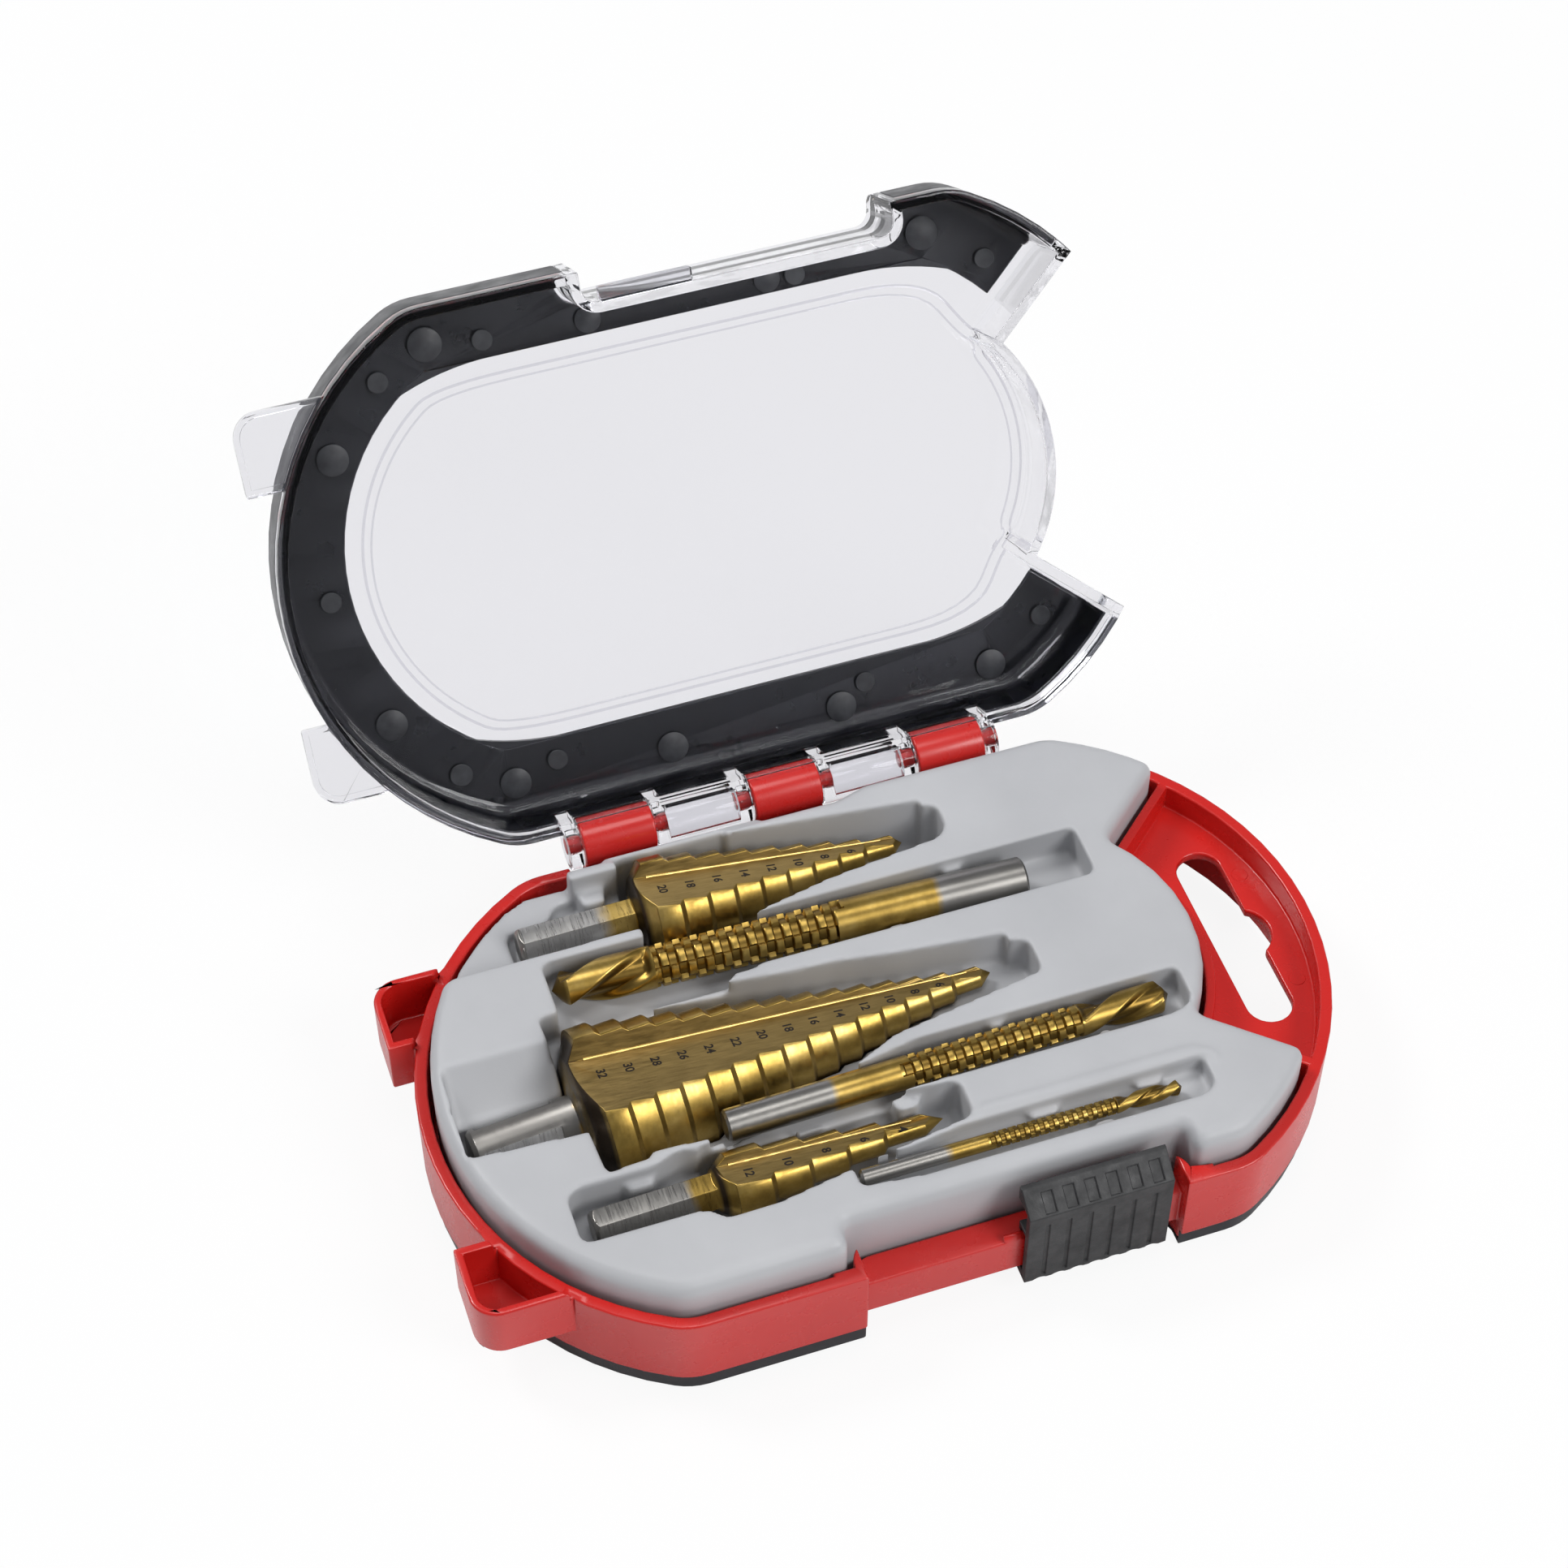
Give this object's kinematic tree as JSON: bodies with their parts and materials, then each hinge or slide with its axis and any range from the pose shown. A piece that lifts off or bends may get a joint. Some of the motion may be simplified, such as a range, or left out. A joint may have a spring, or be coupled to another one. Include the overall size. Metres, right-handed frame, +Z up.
{
  "type": "drill bit case",
  "caption": "Oval hinged plastic case with a clear lid, slide latch, hang slot and a moulded tray that holds step drills and saw drills.",
  "frame": {"origin": "centre of the flat bottom on which the case rests, under the middle of its outline without the side boxes", "axes": "+X along the case towards the handle slot, +Y towards the hinge, +Z up, with the lid open"},
  "size_m": [0.17, 0.172, 0.1129],
  "materials": {
    "red_plastic": "glossy moulded red",
    "band_plastic": "smooth near-black",
    "grey_plastic": "satin moulded light grey",
    "latch_plastic": "satin black with ribs",
    "clear_plastic": "clear, faintly blue at the edges",
    "coated_steel": "gold nitride coating over ground steel, with bare shanks"
  },
  "bodies": {
    "base": {"base_shell": "red_plastic", "base_band": "band_plastic", "tray": "grey_plastic"},
    "lid": {"lid_shell": "clear_plastic", "lid_band": "band_plastic"},
    "latch": {"slide_latch": "latch_plastic"},
    "drill_32": {"step_drill_32": "coated_steel"},
    "drill_20": {"step_drill_20": "coated_steel"},
    "drill_12": {"step_drill_12": "coated_steel"},
    "drill_8": {"saw_drill_8": "coated_steel"},
    "drill_6": {"saw_drill_6": "coated_steel"},
    "drill_3": {"saw_drill_3": "coated_steel"}
  },
  "joints": [
    {"name": "lid_hinge", "type": "hinge", "parent": "base", "child": "lid", "pos_m": [0, 0.05396, 0.02314], "axis": [-1, 0, 0], "range_deg": [-122.6, 0]},
    {"name": "latch_slide", "type": "slide", "parent": "base", "child": "latch", "axis": [1, 0, 0], "range_m": [-0.027, 0]},
    {"name": "lift_32", "type": "slide", "parent": "base", "child": "drill_32", "axis": [0, 0.0599, 0.9982], "range_m": [0, 0.045]},
    {"name": "lift_20", "type": "slide", "parent": "base", "child": "drill_20", "axis": [0, 0, 1], "range_m": [0, 0.045]},
    {"name": "lift_12", "type": "slide", "parent": "base", "child": "drill_12", "axis": [0, 0, 1], "range_m": [0, 0.045]},
    {"name": "lift_8", "type": "slide", "parent": "base", "child": "drill_8", "axis": [0, 0, 1], "range_m": [0, 0.045]},
    {"name": "lift_6", "type": "slide", "parent": "base", "child": "drill_6", "axis": [0, 0, 1], "range_m": [0, 0.045]},
    {"name": "lift_3", "type": "slide", "parent": "base", "child": "drill_3", "axis": [0, 0, 1], "range_m": [0, 0.045]}
  ]
}
